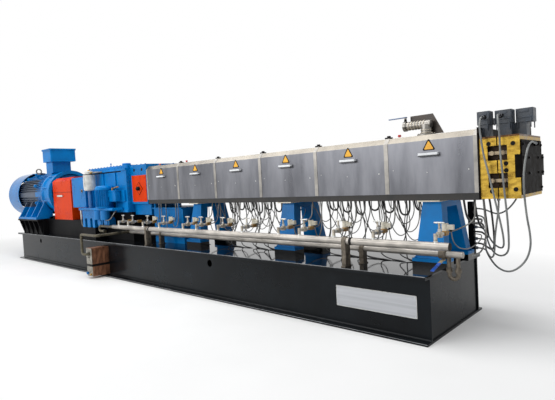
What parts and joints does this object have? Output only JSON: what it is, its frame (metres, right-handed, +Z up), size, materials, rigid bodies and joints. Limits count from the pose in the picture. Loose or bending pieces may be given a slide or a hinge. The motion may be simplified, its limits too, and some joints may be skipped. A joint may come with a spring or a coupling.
{
  "type": "twin-screw compounding extruder",
  "caption": "Plastic compounding extruder: motor, guarded coupling, gearbox, covered barrel on stands, die head, oil unit and cooling pipes on a long base frame.",
  "frame": {"origin": "on the floor under the middle of the base frame", "axes": "+X along the machine from the motor to the die, +Y to the back, away from the operator's side, +Z up"},
  "size_m": [9.76, 1.3579, 2.056],
  "materials": {
    "base_paint": "gloss black",
    "nameplate_metal": "satin",
    "motor_paint": "satin grey-blue",
    "blue_paint": "gloss blue",
    "galvanised_steel": "satin",
    "orange_paint": "gloss orange-red",
    "filter_paint": "gloss white",
    "cast_metal": "rough",
    "barrel_steel": "machined",
    "stainless": "brushed",
    "die_bronze": "bronze-coloured machined",
    "black_paint": "satin black",
    "clamp_steel": "machined",
    "plug_plastic": "matte slate",
    "coil_plastic": "cream",
    "lever_plastic": "blue dipped",
    "exchanger_metal": "copper-brazed",
    "cable_sheath": "light grey"
  },
  "bodies": {
    "machine": {"barrel": "barrel_steel", "barrel_covers": "stainless", "barrel_rail": "barrel_steel", "barrel_support_1": "blue_paint", "barrel_support_2": "blue_paint", "barrel_support_3": "blue_paint", "base_beam_front": "base_paint", "base_beam_rear": "base_paint", "base_cross_members": "base_paint", "base_deck": "base_paint", "bypass_loop": "stainless", "connector_post": "base_paint", "coupling_guard": "orange_paint", "cover_handles": "stainless", "die_adapter_plate": "black_paint", "die_block_left": "die_bronze", "die_block_right": "die_bronze", "die_cable_1": "cable_sheath", "die_cable_2": "cable_sheath", "die_cable_3": "cable_sheath", "die_cable_4": "cable_sheath", "die_cable_5": "cable_sheath", "die_clamps": "clamp_steel", "die_front_panel": "black_paint", "exchanger_pipes": "stainless", "feed_stand": "blue_paint", "gearbox_cover": "blue_paint", "gearbox_housing": "blue_paint", "gearbox_input_stage": "blue_paint", "gearbox_pedestal": "base_paint", "heat_exchanger": "exchanger_metal", "heater_plugs": "plug_plastic", "lantern_cover_plates": "orange_paint", "lantern_housing": "blue_paint", "manifold_brackets_left": "galvanised_steel", "manifold_brackets_right": "galvanised_steel", "motor_end_shield": "blue_paint", "motor_fan_cowl": "blue_paint", "motor_frame": "motor_paint", "motor_lifting_eyes": "galvanised_steel", "motor_pedestal": "base_paint", "motor_terminal_box": "blue_paint", "nameplate": "nameplate_metal", "oil_filter": "filter_paint", "oil_pump_motor": "blue_paint", "oil_pump_stand": "blue_paint", "oil_pumps": "cast_metal", "oil_tank": "blue_paint", "return_manifold": "stainless", "solenoid_valves": "coil_plastic", "station_piping": "stainless", "supply_manifold": "stainless", "vent_hood": "stainless", "vent_port": "stainless"},
    "vent_lever": {"vent_valve_lever": "stainless"},
    "bypass_lever": {"bypass_valve_lever": "lever_plastic"}
  },
  "joints": [
    {"name": "vent_lever_turn", "type": "hinge", "parent": "machine", "child": "vent_lever", "pos_m": [3.802, 0, 1.697], "axis": [0, 0, 1], "range_deg": [0, 90]},
    {"name": "bypass_lever_turn", "type": "hinge", "parent": "machine", "child": "bypass_lever", "pos_m": [4.205, -0.3, 0.5835], "axis": [0, 0, -1], "range_deg": [0, 90]}
  ]
}
